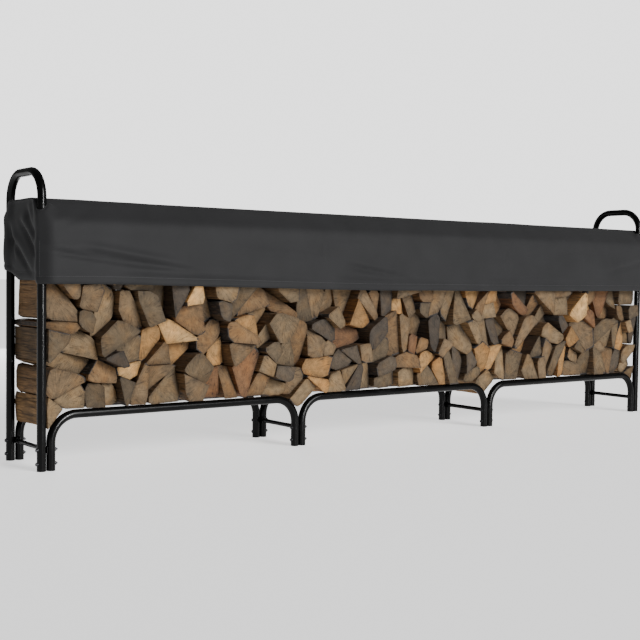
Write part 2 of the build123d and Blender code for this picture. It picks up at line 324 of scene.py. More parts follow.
def sawn_end_grain():
    """The sawn end of a seasoned hardwood log."""
    # The eye gets dull, weathered wood in its log's own tone, with faint growth rings, rays and drying
    # cracks from the pith, warm patches, a dirty rim and rough saw marks.
    material, tree, shader = start_material("sawn_end_grain", {"Roughness": 0.86, "Specular IOR Level": 0.25})
    # Growth rings are 2 to 4 mm apart on real logs, and drawn at 6 mm so that they show.
    ring_gap, ring_bend, bend_size = 6 * MM, 14 * MM, 40 * MM
    # Saw marks are about 4 mm apart on real logs, and drawn at 18 mm so that they show.
    saw_gap, saw_depth = 17.76 * MM, 1.5 * MM
    grime_size, warm_size = 28 * MM, 60 * MM
    # Cracks and rays to a radian round the pith
    cracks, rays = 7.0, 26.0
    place = add_node(tree, "ShaderNodeTexCoord").outputs["Object"]
    pith = add_node(tree, "ShaderNodeAttribute", attribute_name="pith").outputs["Vector"]
    colour = add_node(tree, "ShaderNodeAttribute", attribute_name="log_colour").outputs["Color"]
    rim = add_node(tree, "ShaderNodeAttribute", attribute_name="rim").outputs["Fac"]
    from_pith = add_node(tree, "ShaderNodeVectorMath", {
        0: place, 1: pith}, operation="SUBTRACT").outputs["Vector"]
    flat = add_node(tree, "ShaderNodeVectorMath", {0: from_pith, 1: (1, 0, 1)}, operation="MULTIPLY")
    radius = add_node(tree, "ShaderNodeVectorMath", {0: flat.outputs["Vector"]}, operation="LENGTH")
    wander = add_node(tree, "ShaderNodeTexNoise", {"Vector": place, "Scale": 1 / bend_size, "Detail": 3.0})
    bent = add_node(tree, "ShaderNodeMath", {
        0: wander.outputs["Fac"], 1: ring_bend, 2: radius.outputs["Value"]}, operation="MULTIPLY_ADD")
    turns = add_node(tree, "ShaderNodeMath", {
        0: bent.outputs[0], 1: 2 * math.pi / ring_gap}, operation="MULTIPLY")
    rings = add_node(tree, "ShaderNodeMath", {0: turns.outputs[0]}, operation="SINE")
    parts = add_node(tree, "ShaderNodeSeparateXYZ", {0: from_pith})
    angle = add_node(tree, "ShaderNodeMath", {
        0: parts.outputs["Z"], 1: parts.outputs["X"]}, operation="ARCTAN2")
    spoke = add_node(tree, "ShaderNodeCombineXYZ", {"X": angle.outputs[0], "Y": radius.outputs["Value"]})
    check = add_node(tree, "ShaderNodeTexNoise", {"Vector": spoke.outputs[0], "Scale": cracks, "Detail": 2.0})
    off = add_node(tree, "ShaderNodeMath", {0: check.outputs["Fac"], 1: 0.5}, operation="SUBTRACT")
    near = add_node(tree, "ShaderNodeMath", {0: off.outputs[0]}, operation="ABSOLUTE")
    crack = add_node(tree, "ShaderNodeMapRange", {
        "Value": near.outputs[0], "From Min": 0.0, "From Max": 0.02, "To Min": 1.0, "To Max": 0.0})
    grime = add_node(tree, "ShaderNodeTexNoise", {
        "Vector": place, "Scale": 1 / grime_size, "Detail": 6.0, "Roughness": 0.65})
    shade = add_node(tree, "ShaderNodeMapRange", {
        "Value": grime.outputs["Fac"], "From Min": 0.25, "From Max": 0.75, "To Min": 0.5, "To Max": 1.3})
    ray = add_node(tree, "ShaderNodeTexNoise", {
        "Vector": spoke.outputs[0], "Scale": rays, "Detail": 5.0, "Roughness": 0.7})
    ray_light = add_node(tree, "ShaderNodeMath", {
        0: ray.outputs["Fac"], 1: 0.9, 2: -0.45}, operation="MULTIPLY_ADD")
    rayed = add_node(tree, "ShaderNodeMath", {0: ray_light.outputs[0], 1: shade.outputs[0]}, operation="ADD")
    banded = add_node(tree, "ShaderNodeMath", {
        0: rings.outputs[0], 1: 0.1, 2: rayed.outputs[0]}, operation="MULTIPLY_ADD")
    cracked = add_node(tree, "ShaderNodeMath", {
        0: crack.outputs[0], 1: -0.45, 2: banded.outputs[0]}, operation="MULTIPLY_ADD")
    dirty = add_node(tree, "ShaderNodeMath", {0: rim, 1: grime.outputs["Fac"]}, operation="MULTIPLY")
    edged = add_node(tree, "ShaderNodeMath", {
        0: dirty.outputs[0], 1: -0.75, 2: cracked.outputs[0]}, operation="MULTIPLY_ADD")
    patch = add_node(tree, "ShaderNodeTexNoise", {"Vector": place, "Scale": 1 / warm_size, "Detail": 3.0})
    warmth = add_node(tree, "ShaderNodeMapRange", {
        "Value": patch.outputs["Fac"], "From Min": 0.45, "From Max": 0.7, "To Min": 0.0, "To Max": 0.7})
    warm = add_node(tree, "ShaderNodeVectorMath", {0: colour, 1: (1.22, 1.0, 0.68)}, operation="MULTIPLY")
    mixed = add_node(tree, "ShaderNodeMix", {
        "Factor": warmth.outputs[0], "A": colour, "B": warm.outputs["Vector"]}, data_type="RGBA")
    tone = add_node(tree, "ShaderNodeVectorMath", {
        0: mixed.outputs["Result"], "Scale": edged.outputs[0]}, operation="SCALE")
    saw = add_node(tree, "ShaderNodeTexWave", {
        "Vector": from_pith, "Scale": DIAGONAL_REPEAT / saw_gap, "Distortion": 2.5, "Detail": 2.0},
        bands_direction="DIAGONAL")
    height = add_node(tree, "ShaderNodeMath", {
        0: saw.outputs["Fac"], 1: 0.4, 2: cracked.outputs[0]}, operation="MULTIPLY_ADD")
    bump = add_node(tree, "ShaderNodeBump", {
        "Height": height.outputs[0], "Strength": 0.5, "Distance": saw_depth})
    feed(tree, shader, {"Base Color": tone.outputs["Vector"], "Normal": bump.outputs["Normal"]})
    return material


def cleft_hardwood():
    """A side of a log that was split along its grain."""
    # The eye gets long torn fibres that run with the log, in its own tone made warmer, with brown stains
    # and dark drying splits.
    material, tree, shader = start_material("cleft_hardwood", {"Roughness": 0.8, "Specular IOR Level": 0.3})
    fibre_size, strand_size, stain_size, split_gap = 9 * MM, 3 * MM, 70 * MM, 22 * MM
    fibre_depth = 2.5 * MM
    place = add_node(tree, "ShaderNodeTexCoord").outputs["Object"]
    colour = add_node(tree, "ShaderNodeAttribute", attribute_name="log_colour").outputs["Color"]
    # Fibres run along the log, so the patterns are stretched that way.
    drawn = add_node(tree, "ShaderNodeVectorMath", {
        0: place, 1: (1, 1 / 12, 1)}, operation="MULTIPLY").outputs["Vector"]
    drawn_far = add_node(tree, "ShaderNodeVectorMath", {
        0: place, 1: (1, 1 / 36, 1)}, operation="MULTIPLY").outputs["Vector"]
    fibre = add_node(tree, "ShaderNodeTexNoise", {
        "Vector": drawn, "Scale": 1 / fibre_size, "Detail": 8.0, "Roughness": 0.7})
    strand = add_node(tree, "ShaderNodeTexNoise", {
        "Vector": drawn_far, "Scale": 1 / strand_size, "Detail": 4.0, "Roughness": 0.6})
    stain = add_node(tree, "ShaderNodeTexNoise", {"Vector": place, "Scale": 1 / stain_size, "Detail": 4.0})
    light = add_node(tree, "ShaderNodeMapRange", {
        "Value": fibre.outputs["Fac"], "From Min": 0.3, "From Max": 0.7, "To Min": 0.6, "To Max": 1.45})
    streak = add_node(tree, "ShaderNodeMapRange", {
        "Value": strand.outputs["Fac"], "From Min": 0.32, "From Max": 0.62, "To Min": 0.45, "To Max": 1.15})
    dim = add_node(tree, "ShaderNodeMapRange", {
        "Value": stain.outputs["Fac"], "From Min": 0.3, "From Max": 0.7, "To Min": 0.65, "To Max": 1.1})
    grained = add_node(tree, "ShaderNodeMath", {
        0: light.outputs[0], 1: streak.outputs[0]}, operation="MULTIPLY")
    stained = add_node(tree, "ShaderNodeMath", {
        0: grained.outputs[0], 1: dim.outputs[0]}, operation="MULTIPLY")
    wander = add_node(tree, "ShaderNodeTexNoise", {
        "Vector": drawn_far, "Scale": 1 / split_gap, "Detail": 3.0})
    off = add_node(tree, "ShaderNodeMath", {0: wander.outputs["Fac"], 1: 0.5}, operation="SUBTRACT")
    near = add_node(tree, "ShaderNodeMath", {0: off.outputs[0]}, operation="ABSOLUTE")
    whole = add_node(tree, "ShaderNodeMapRange", {
        "Value": near.outputs[0], "From Min": 0.004, "From Max": 0.02, "To Min": 0.35, "To Max": 1.0})
    split = add_node(tree, "ShaderNodeMath", {
        0: stained.outputs[0], 1: whole.outputs[0]}, operation="MULTIPLY")
    warm = add_node(tree, "ShaderNodeVectorMath", {0: colour, 1: (1.05, 0.88, 0.7)}, operation="MULTIPLY")
    tone = add_node(tree, "ShaderNodeVectorMath", {
        0: warm.outputs["Vector"], "Scale": split.outputs[0]}, operation="SCALE")
    height = add_node(tree, "ShaderNodeMath", {0: split.outputs[0], 1: fibre.outputs["Fac"]}, operation="ADD")
    bump = add_node(tree, "ShaderNodeBump", {
        "Height": height.outputs[0], "Strength": 0.6, "Distance": fibre_depth})
    feed(tree, shader, {"Base Color": tone.outputs["Vector"], "Normal": bump.outputs["Normal"]})
    return material


def ridged_bark(settings):
    """Bark of an oak-like hardwood."""
    # The eye gets flat, dull ridges with long dark furrows between them.
    material, tree, shader = start_material("ridged_bark", {"Roughness": 0.92})
    ridge_size, fleck_size, furrow_depth = 14 * MM, 8 * MM, 4 * MM
    place = add_node(tree, "ShaderNodeTexCoord").outputs["Object"]
    drawn = add_node(tree, "ShaderNodeVectorMath", {
        0: place, 1: (1, 1 / 4, 1)}, operation="MULTIPLY").outputs["Vector"]
    plates = add_node(tree, "ShaderNodeTexVoronoi", {
        "Vector": drawn, "Scale": 1 / ridge_size}, feature="DISTANCE_TO_EDGE")
    fleck = add_node(tree, "ShaderNodeTexNoise", {"Vector": place, "Scale": 1 / fleck_size, "Detail": 6.0})
    depth = add_node(tree, "ShaderNodeMapRange", {
        "Value": plates.outputs["Distance"], "From Min": 0.0, "From Max": 0.3, "To Min": 0.0, "To Max": 1.0})
    rough = add_node(tree, "ShaderNodeMath", {
        0: depth.outputs[0], 1: fleck.outputs["Fac"]}, operation="MULTIPLY")
    tint = add_node(tree, "ShaderNodeMix", {
        "Factor": rough.outputs[0], "A": linear("#17110c"), "B": settings.bark_colour}, data_type="RGBA")
    bump = add_node(tree, "ShaderNodeBump", {
        "Height": rough.outputs[0], "Strength": 0.8, "Distance": furrow_depth})
    feed(tree, shader, {"Base Color": tint.outputs["Result"], "Normal": bump.outputs["Normal"]})
    return material


def coated_polyester(settings):
    """Woven polyester with a matt coating."""
    # The eye gets an even charcoal with a soft sheen, a fine plain weave and a little dust.
    material, tree, shader = start_material("coated_polyester", {
        "Roughness": 0.72, "Sheen Weight": 0.06, "Sheen Roughness": 0.5, "Specular IOR Level": 0.1})
    # The real threads lie 0.6 mm apart, and are drawn at 3 mm so that they show.
    thread_gap, thread_depth, dust_size = 3 * MM, 0.4 * MM, 160 * MM
    cut = add_node(tree, "ShaderNodeUVMap", uv_map="cut").outputs["UV"]
    place = add_node(tree, "ShaderNodeTexCoord").outputs["Object"]
    warp, weft = [add_node(tree, "ShaderNodeTexWave", {
        "Vector": cut, "Scale": WAVE_REPEAT / thread_gap}, bands_direction=way) for way in ("X", "Y")]
    weave = add_node(tree, "ShaderNodeMath", {
        0: warp.outputs["Fac"], 1: weft.outputs["Fac"]}, operation="MULTIPLY")
    dust = add_node(tree, "ShaderNodeTexNoise", {"Vector": place, "Scale": 1 / dust_size, "Detail": 5.0})
    shade = add_node(tree, "ShaderNodeMapRange", {
        "Value": dust.outputs["Fac"], "From Min": 0.3, "From Max": 0.7, "To Min": 0.88, "To Max": 1.1})
    thread = add_node(tree, "ShaderNodeMath", {
        0: weave.outputs[0], 1: 0.12, 2: shade.outputs[0]}, operation="MULTIPLY_ADD")
    tone = add_node(tree, "ShaderNodeVectorMath", {
        0: settings.fabric_colour[:3], "Scale": thread.outputs[0]}, operation="SCALE")
    bump = add_node(tree, "ShaderNodeBump", {
        "Height": weave.outputs[0], "Strength": 0.12, "Distance": thread_depth})
    feed(tree, shader, {"Base Color": tone.outputs["Vector"], "Normal": bump.outputs["Normal"]})
    return material


def sewing_thread(settings):
    """Bonded polyester thread."""
    # The eye gets a dull dark twist, a little paler than the fabric.
    material, tree, shader = start_material("sewing_thread", {"Roughness": 0.6})
    twist_size = 1.5 * MM
    place = add_node(tree, "ShaderNodeTexCoord").outputs["Object"]
    twist = add_node(tree, "ShaderNodeTexNoise", {"Vector": place, "Scale": 1 / twist_size})
    tint = add_node(tree, "ShaderNodeMix", {
        "Factor": twist.outputs["Fac"], "A": settings.thread_colour, "B": linear("#3a3a3b")},
        data_type="RGBA")
    feed(tree, shader, {"Base Color": tint.outputs["Result"]})
    return material


def pale_floor(settings):
    """Plain matt studio paper."""
    # The eye gets an almost white ground with soft shadows.
    return start_material("pale_floor", {
        "Roughness": 0.9, "Base Color": settings.floor_colour, "Emission Color": linear("#ffffff"),
        "Emission Strength": settings.floor_glow})[0]


# Geometry Nodes that the bolts and the stitches share

def start_tree(name, sizes):
    """A new Geometry Nodes tree with some sizes as inputs, as (tree, input sockets)."""
    tree = bpy.data.node_groups.new(name, "GeometryNodeTree")
    face = tree.interface
    face.new_socket("Geometry", in_out="INPUT", socket_type="NodeSocketGeometry")
    for size in sizes:
        face.new_socket(size, in_out="INPUT", socket_type="NodeSocketFloat")
    face.new_socket("Geometry", in_out="OUTPUT", socket_type="NodeSocketGeometry")
    return tree, add_node(tree, "NodeGroupInput").outputs


def end_tree(tree, points, shape, way, material):
    """Put one shape on every point, its Z turned along a way, and send the meshes out."""
    turn = add_node(tree, "FunctionNodeAlignRotationToVector", {"Vector": way}, axis="Z")
    placed = add_node(tree, "GeometryNodeInstanceOnPoints", {
        "Points": points, "Instance": shape, "Rotation": turn.outputs["Rotation"]})
    real = add_node(tree, "GeometryNodeRealizeInstances", {"Geometry": placed.outputs["Instances"]})
    finish = add_node(tree, "GeometryNodeSetMaterial", {
        "Geometry": real.outputs["Geometry"], "Material": material})
    add_node(tree, "NodeGroupOutput", {"Geometry": finish.outputs["Geometry"]})


def grown_piece(name, points, edges, vectors, tree, values):
    """Run a Geometry Nodes tree on some points and keep the result as a plain mesh piece."""
    mesh = bpy.data.meshes.new(name)
    mesh.from_pydata(points, edges, [])
    for attribute, data in vectors.items():
        layer = mesh.attributes.new(attribute, "FLOAT_VECTOR", "POINT")
        layer.data.foreach_set("vector", np.array(data, np.float32).ravel())
    piece = bpy.data.objects.new(name, mesh)
    bpy.context.scene.collection.objects.link(piece)
    modifier = piece.modifiers.new(name, "NODES")
    modifier.node_group = tree
    for item in tree.interface.items_tree:
        if item.in_out == "INPUT" and item.name in values:
            modifier[item.identifier] = values[item.name]
    graph = bpy.context.evaluated_depsgraph_get()
    grown = bpy.data.meshes.new_from_object(piece.evaluated_get(graph))
    piece.modifiers.remove(modifier)
    piece.data = grown
    bpy.data.meshes.remove(mesh)
    grown.name = name
    return piece


# Steel frame

class LOGSTORE_OT_steel_frame(bpy.types.Operator):
    """Finish the hoops, rails and crossbars in black powder coat"""
    bl_idname = "logstore.steel_frame"
    bl_label = "Steel frame"

    def execute(self, context):
        coat = powder_coated_steel(context.scene.logstore_steel)
        if not STEEL_NODES:
            raise RuntimeError("The frame has no hoops, rails or crossbars to finish")
        for name in STEEL_NODES:
            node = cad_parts[name]
            node.data.materials.clear()
            node.data.materials.append(coat)
        return {"FINISHED"}


# Sides of a bolt's hexagonal and round parts, and the angle from which its edges are sharp
HEAD_SIDES = 6
FLANGE_SIDES = 20
THREAD_SIDES = 14
BOLT_SHARP = math.radians(30)


def bolt_tree(sizes, steel):
    """Geometry Nodes: one bolt and nut on every point, along Z, with its sizes as inputs."""
    tree, given = start_tree("leg_bolts", sizes)
    half_grip, half_flange, half_head = [
        add_node(tree, "ShaderNodeMath", {0: given[size], 1: 0.5}, operation="MULTIPLY").outputs[0]
        for size in ("Grip", "Flange Height", "Head Height")]
    seat = add_node(tree, "ShaderNodeMath", {0: half_grip, 1: half_head}, operation="ADD").outputs[0]
    head_place = add_node(tree, "ShaderNodeMath", {0: seat, 1: half_flange}, operation="ADD").outputs[0]
    thread_length = add_node(tree, "ShaderNodeMath", {
        0: head_place, 1: given["Thread End"]}, operation="ADD").outputs[0]
    half_thread = add_node(tree, "ShaderNodeMath", {
        0: thread_length, 1: 0.5}, operation="MULTIPLY").outputs[0]
    thread_place = add_node(tree, "ShaderNodeMath", {
        0: half_thread, 1: half_head}, operation="ADD").outputs[0]
    # Each part of the bolt: its sides, radius, height, distance from the middle, and the side it is on
    head = (HEAD_SIDES, given["Head Radius"], given["Head Height"], head_place)
    flange = (FLANGE_SIDES, given["Flange Radius"], given["Flange Height"], half_grip)
    thread = (THREAD_SIDES, given["Thread Radius"], thread_length, thread_place)
    bolt = add_node(tree, "GeometryNodeJoinGeometry")
    for (sides, radius, height, place), side in (
            (head, -1), (flange, -1), (head, 1), (flange, 1), (thread, 1)):
        shape = add_node(tree, "GeometryNodeMeshCylinder", {
            "Vertices": sides, "Radius": radius, "Depth": height})
        reach = add_node(tree, "ShaderNodeMath", {0: place, 1: side}, operation="MULTIPLY")
        offset = add_node(tree, "ShaderNodeCombineXYZ", {"Z": reach.outputs[0]})
        placed = add_node(tree, "GeometryNodeTransform", {
            "Geometry": shape.outputs["Mesh"], "Translation": offset.outputs[0]})
        tree.links.new(placed.outputs["Geometry"], bolt.inputs["Geometry"])
    along = add_node(tree, "GeometryNodeInputNamedAttribute", {"Name": "along"}, data_type="FLOAT_VECTOR")
    end_tree(tree, given["Geometry"], bolt.outputs["Geometry"], along.outputs["Attribute"], steel)
    return tree


class LOGSTORE_OT_bolts(bpy.types.Operator):
    """Bolt every leg pair together, twice at the front and twice at the back"""
    bl_idname = "logstore.bolts"
    bl_label = "Bolts"

    def execute(self, context):
        settings = context.scene.logstore_steel
        steel = blackened_bolt_steel(settings)
        if not CROSSBAR_NODES:
            raise RuntimeError("The frame has no crossbars to set the bolts by")
        points, along = [], []
        for node in CROSSBAR_NODES:
            low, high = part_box(node)
            middle = (low + high) / 2
            inward = -1.0 if middle.x > 0 else 1.0
            for y in (-POST_Y, POST_Y):
                for z in (settings.lower_bolt_height, middle.z):
                    points.append((middle.x, y, z))
                    along.append((inward, 0, 0))
        left_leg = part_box("left_bay_front_rail")[0].x + TUBE_RADIUS
        left_post = (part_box("left_end_hoop")[0].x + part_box("left_end_hoop")[1].x) / 2
        grip = left_leg - left_post + 2 * TUBE_RADIUS
        values = {"Head Radius": settings.head_radius, "Head Height": settings.head_height,
                  "Flange Radius": settings.flange_radius, "Flange Height": settings.flange_height,
                  "Thread Radius": settings.thread_radius, "Thread End": settings.thread_end, "Grip": grip}
        piece = grown_piece("leg_bolts", points, [], {"along": along}, bolt_tree(values, steel), values)
        piece.data.set_sharp_from_angle(angle=BOLT_SHARP)
        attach(piece, BODY)
        return {"FINISHED"}


# Firewood

# Tones of seasoned hardwood, with how often each turns up in a mixed stack
LOG_TONES = (
    ("#836d4f", 20), ("#776145", 20), ("#6c5a41", 16), ("#7c603f", 12), ("#60513c", 10),
    ("#483e33", 8), ("#55493a", 7), ("#a27a49", 7), ("#b98e58", 5), ("#d2a86f", 4), ("#7a5636", 5),
)
# Darkest and lightest share of its tone that a log may have
TONE_LIGHTS = (0.68, 0.96)

# Points of a CAD log closer than this are one, and points this near its front are on its front end.
WELD_GAP = 0.05 * MM
FRONT_GAP = 1 * MM

# A break takes this share of its size or more, and at most this share of a side.
BREAK_LEAST = 0.3
BREAK_MOST = 0.3
# Power that keeps most log ends near the face of the stack
RECESS_POWER = 4
# Nearest and farthest that the pith lies from a log's middle, as shares of its farthest corner's distance
PITH_SHARES = (0.2, 0.9)
# Share of logs with bark, and its sides' least distance from the pith, as a share of the farthest side's
BARK_CHANCE = 0.75
BARK_REACH = 0.93
# Range of the shift that gives each log its own roughness
SEED_SPAN = 100

# Sizes of the roughness of a sawn end, and across and along a long side
SAW_SIZE = 30 * MM
FINE_ACROSS, FINE_ALONG = 11 * MM, 100 * MM
BROAD_ACROSS, BROAD_ALONG = 50 * MM, 160 * MM
# Shares of the relief: its mean, fine and broad parts
MEAN_RELIEF, FINE_RELIEF, BROAD_RELIEF = 0.35, 0.45, 0.5
# The relief fades to a part of itself over this share of a log's length at each end.
FADE_SHARE = 0.05
END_RELIEF = 0.2
# Share of the edge wear at a sawn edge, and the deepest relief as a share of the way to the middle
SAWN_WEAR = 0.6
DEEPEST = 0.5

# How far along a log its rings of points lie, closer together at the ends
ROW_SHARES = (0.0, 0.006, 0.05, 0.14, 0.26, 0.38, 0.5, 0.62, 0.74, 0.86, 0.95, 0.994, 1.0)
# How far from a sawn end's middle its rings of points lie, and how fast its dirt fades inwards
CAP_SHARES = (0.93, 0.64, 0.32)
RIM_POWER = 4
# Angle from which a log's edges are sharp
LOG_SHARP = math.radians(24)

# Numbers of a log's finishes and ends
SAWN, CLEFT, BARK = range(3)
FRONT, BACK = range(2)


def read_logs(node):
    """Every log of a CAD node as (outline in X and Z, front Y, back Y), in a fixed order."""
    work = bmesh.new()
    work.from_mesh(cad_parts[node].data)
    bmesh.ops.remove_doubles(work, verts=work.verts, dist=WELD_GAP)
    found, left = [], set(work.verts)
    while left:
        group, edge = set(), [left.pop()]
        while edge:
            vertex = edge.pop()
            group.add(vertex)
            nearby = {e.other_vert(vertex) for e in vertex.link_edges} & left
            left -= nearby
            edge += nearby
        points = [v.co.copy() for v in group]
        front, back = min(p.y for p in points), max(p.y for p in points)
        end = [Vector((p.x, p.z)) for p in points if p.y < front + FRONT_GAP]
        middle = sum(end, Vector((0, 0))) / len(end)
        end.sort(key=lambda p: math.atan2(p.y - middle.y, p.x - middle.x))
        found.append((end, front, back))
    work.free()
    return sorted(found, key=lambda log: (round(log[0][0].x, 4), round(log[0][0].y, 4)))


def pick_tone(draw):
    """One log's colour, with a little of its own lightness."""
    tones, weights = zip(*LOG_TONES)
    light = draw.uniform(*TONE_LIGHTS)
    return [c * light for c in linear(draw.choices(tones, weights)[0])[:3]] + [1.0]


def broken(outline, settings, draw):
    """The outline with some of its corners broken off, as splitting leaves them."""
    points = []
    for i, corner in enumerate(outline):
        sides = [p - corner for p in (outline[i - 1], outline[(i + 1) % len(outline)])]
        if draw.random() < settings.broken_share:
            for side in sides:
                size = draw.uniform(BREAK_LEAST, 1) * settings.broken_size
                points.append(corner + side * min(BREAK_MOST, size / side.length))
        else:
            points.append(corner)
    return points


def log_ring(outline, settings):
    """Points round a log with its corners worn back, as (point, edge number) pairs."""
    ring = []
    for i, start in enumerate(outline):
        end = outline[(i + 1) % len(outline)]
        length = (end - start).length
        worn = min(settings.edge_wear, length / 4)
        steps = max(1, round((length - 2 * worn) / settings.spacing))
        for step in range(steps + 1):
            share = (worn + (length - 2 * worn) * step / steps) / length
            ring.append((start.lerp(end, share), i))
    return ring


class SplitLog:
    """One split log, drawn at random inside its CAD log."""

    def __init__(self, log, settings, draw):
        outline, front, back = log
        self.settings = settings
        self.outline = broken(outline, settings, draw)
        self.front = front + settings.end_recess * draw.random() ** RECESS_POWER
        self.back = back - settings.end_recess * draw.random() ** RECESS_POWER
        self.middle = sum(self.outline, Vector((0, 0))) / len(self.outline)
        self.ring = log_ring(self.outline, settings)
        size = max((p - self.middle).length for p in self.outline)
        heading = draw.uniform(0, 2 * math.pi)
        way = Vector((math.cos(heading), math.sin(heading)))
        self.pith = self.middle + way * size * draw.uniform(*PITH_SHARES)
        ends = self.outline[1:] + self.outline[:1]
        away = [((a + b) / 2 - self.pith).length for a, b in zip(self.outline, ends)]
        has_bark = draw.random() < BARK_CHANCE
        self.bark_edges = {i for i, d in enumerate(away) if has_bark and d > BARK_REACH * max(away)}
        self.seed = draw.uniform(0, SEED_SPAN)
        tilt = settings.end_tilt
        self.slants = [[math.tan(draw.uniform(-tilt, tilt)) for axis in "xz"] for end in (FRONT, BACK)]
        self.colour = pick_tone(draw)

    def end_y(self, point, end):
        """Y of a slanted sawn end, which never passes the CAD log's end."""
        slant_x, slant_z = self.slants[end]
        lifts = [slant_x * (p.x - self.middle.x) + slant_z * (p.y - self.middle.y)
                 for p in (point, *self.outline)]
        place = Vector((point.x / SAW_SIZE, self.seed, point.y / SAW_SIZE))
        inset = lifts[0] - min(lifts[1:]) + self.settings.saw_relief * (1 + noise.noise(place)) / 2
        return self.front + inset if end == FRONT else self.back - inset

    def depth(self, point, edge, y, share):
        """How far a point of a long side lies inside the outline."""
        settings = self.settings
        relief = settings.bark_relief if edge in self.bark_edges else settings.cleft_relief
        fine = noise.noise(Vector((
            point.x / FINE_ACROSS, y / FINE_ALONG + self.seed, point.y / FINE_ACROSS)))
        broad = noise.noise(Vector((
            point.x / BROAD_ACROSS, y / BROAD_ALONG - self.seed, point.y / BROAD_ACROSS)))
        depth = relief * max(0.0, MEAN_RELIEF + FINE_RELIEF * fine + BROAD_RELIEF * broad)
        from_end = min(share, 1 - share)
        depth *= smooth(0, FADE_SHARE, from_end) * (1 - END_RELIEF) + END_RELIEF
        return depth + (SAWN_WEAR * settings.edge_wear if from_end == 0 else 0.0)

    def add_to(self, parts):
        """Add the log to the lists of points, faces, finishes, colours, piths and rims."""
        first, count, rows = len(parts["points"]), len(self.ring), len(ROW_SHARES)
        self.add_sides(parts)
        for end, row in ((FRONT, 0), (BACK, rows - 1)):
            self.add_cap(parts, [first + row * count + i for i in range(count)], end)
        made = len(parts["points"]) - first
        cap_rims = [share ** RIM_POWER for share in CAP_SHARES for i in range(count)] + [0.0]
        parts["rims"] += [1.0] * (rows * count) + cap_rims + cap_rims
        parts["colours"] += [self.colour] * made
        parts["piths"] += [(self.pith.x, 0, self.pith.y)] * made

    def add_sides(self, parts):
        """Add the long sides, split or with bark, as rings of points joined by quads."""
        first, count = len(parts["points"]), len(self.ring)
        ends = [(self.end_y(point, FRONT), self.end_y(point, BACK)) for point, edge in self.ring]
        for share in ROW_SHARES:
            for (point, edge), (front, back) in zip(self.ring, ends):
                y = (1 - share) * front + share * back
                inward = self.middle - point
                depth = self.depth(point, edge, y, share)
                placed = point + inward * min(DEEPEST, depth / inward.length)
                parts["points"].append((placed.x, y, placed.y))
        for row in range(len(ROW_SHARES) - 1):
            for i in range(count):
                here, after = first + row * count + i, first + row * count + (i + 1) % count
                parts["faces"].append((here, here + count, after + count, after))
                parts["finishes"].append(BARK if self.ring[i][1] in self.bark_edges else CLEFT)

    def add_cap(self, parts, outer, end):
        """Close one sawn end, from its outer ring of points to its middle."""
        points, faces, finishes = parts["points"], parts["faces"], parts["finishes"]
        count = len(outer)
        for share in CAP_SHARES:
            inner = list(range(len(points), len(points) + count))
            for point, edge in self.ring:
                placed = self.middle.lerp(point, share)
                points.append((placed.x, self.end_y(placed, end), placed.y))
            for i in range(count):
                after = (i + 1) % count
                quad = (outer[i], outer[after], inner[after], inner[i])
                faces.append(quad if end == FRONT else quad[::-1])
                rind = share == CAP_SHARES[0] and self.ring[i][1] in self.bark_edges
                finishes.append(BARK if rind else SAWN)
            outer = inner
        hub = len(points)
        points.append((self.middle.x, self.end_y(self.middle, end), self.middle.y))
        for i in range(count):
            triangle = (outer[i], outer[(i + 1) % count], hub)
            faces.append(triangle if end == FRONT else triangle[::-1])
            finishes.append(SAWN)


class LOGSTORE_OT_firewood(bpy.types.Operator):
    """Replace the plain logs with split, sawn and bark-covered ones"""
    bl_idname = "logstore.firewood"
    bl_label = "Firewood"

    def execute(self, context):
        settings = context.scene.logstore_firewood
        finishes = [sawn_end_grain(), cleft_hardwood(), ridged_bark(settings)]
        for number, node in enumerate(LOG_NODES):
            draw = random.Random(settings.seed * len(LOG_NODES) + number)
            parts = {"points": [], "faces": [], "finishes": [], "colours": [], "piths": [], "rims": []}
            logs = read_logs(node)
            if not logs:
                raise RuntimeError(f"No log was found in {node}")
            for log in logs:
                SplitLog(log, settings, draw).add_to(parts)
            mesh = bpy.data.meshes.new(f"split_{node}")
            mesh.from_pydata(parts["points"], [], parts["faces"])
            for finish in finishes:
                mesh.materials.append(finish)
            mesh.polygons.foreach_set("material_index", parts["finishes"])
            tone = mesh.attributes.new("log_colour", "FLOAT_COLOR", "POINT")
            tone.data.foreach_set("color", np.array(parts["colours"], np.float32).ravel())
            mesh.attributes.new("rim", "FLOAT", "POINT").data.foreach_set("value", parts["rims"])
            pith = mesh.attributes.new("pith", "FLOAT_VECTOR", "POINT")
            pith.data.foreach_set("vector", np.array(parts["piths"], np.float32).ravel())
            mesh.shade_smooth()
            mesh.set_sharp_from_angle(angle=LOG_SHARP)
            piece = bpy.data.objects.new(f"split_{node}", mesh)
            context.scene.collection.objects.link(piece)
            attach(piece, BODY)
            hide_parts(node)
        return {"FINISHED"}


# Fitted cover

# Lines of the cover that come from the frame
SIDE_Y = -DROP_LOW.y
CORNER_X = DROP_HIGH.x
END_X = CAD_HIGH.x
HEM_Z = DROP_LOW.z
SHOULDER_Z = DROP_HIGH.z
CROWN_Z = CROWN_HIGH.z
CROWN_Y = CROWN_HIGH.y
CORNER_Y = POST_Y + TUBE_RADIUS / 2

# Radii of its rounded edges
SHOULDER_ROUND = 75 * MM
CROWN_ROUND = 45 * MM
CORNER_ROUND = 45 * MM

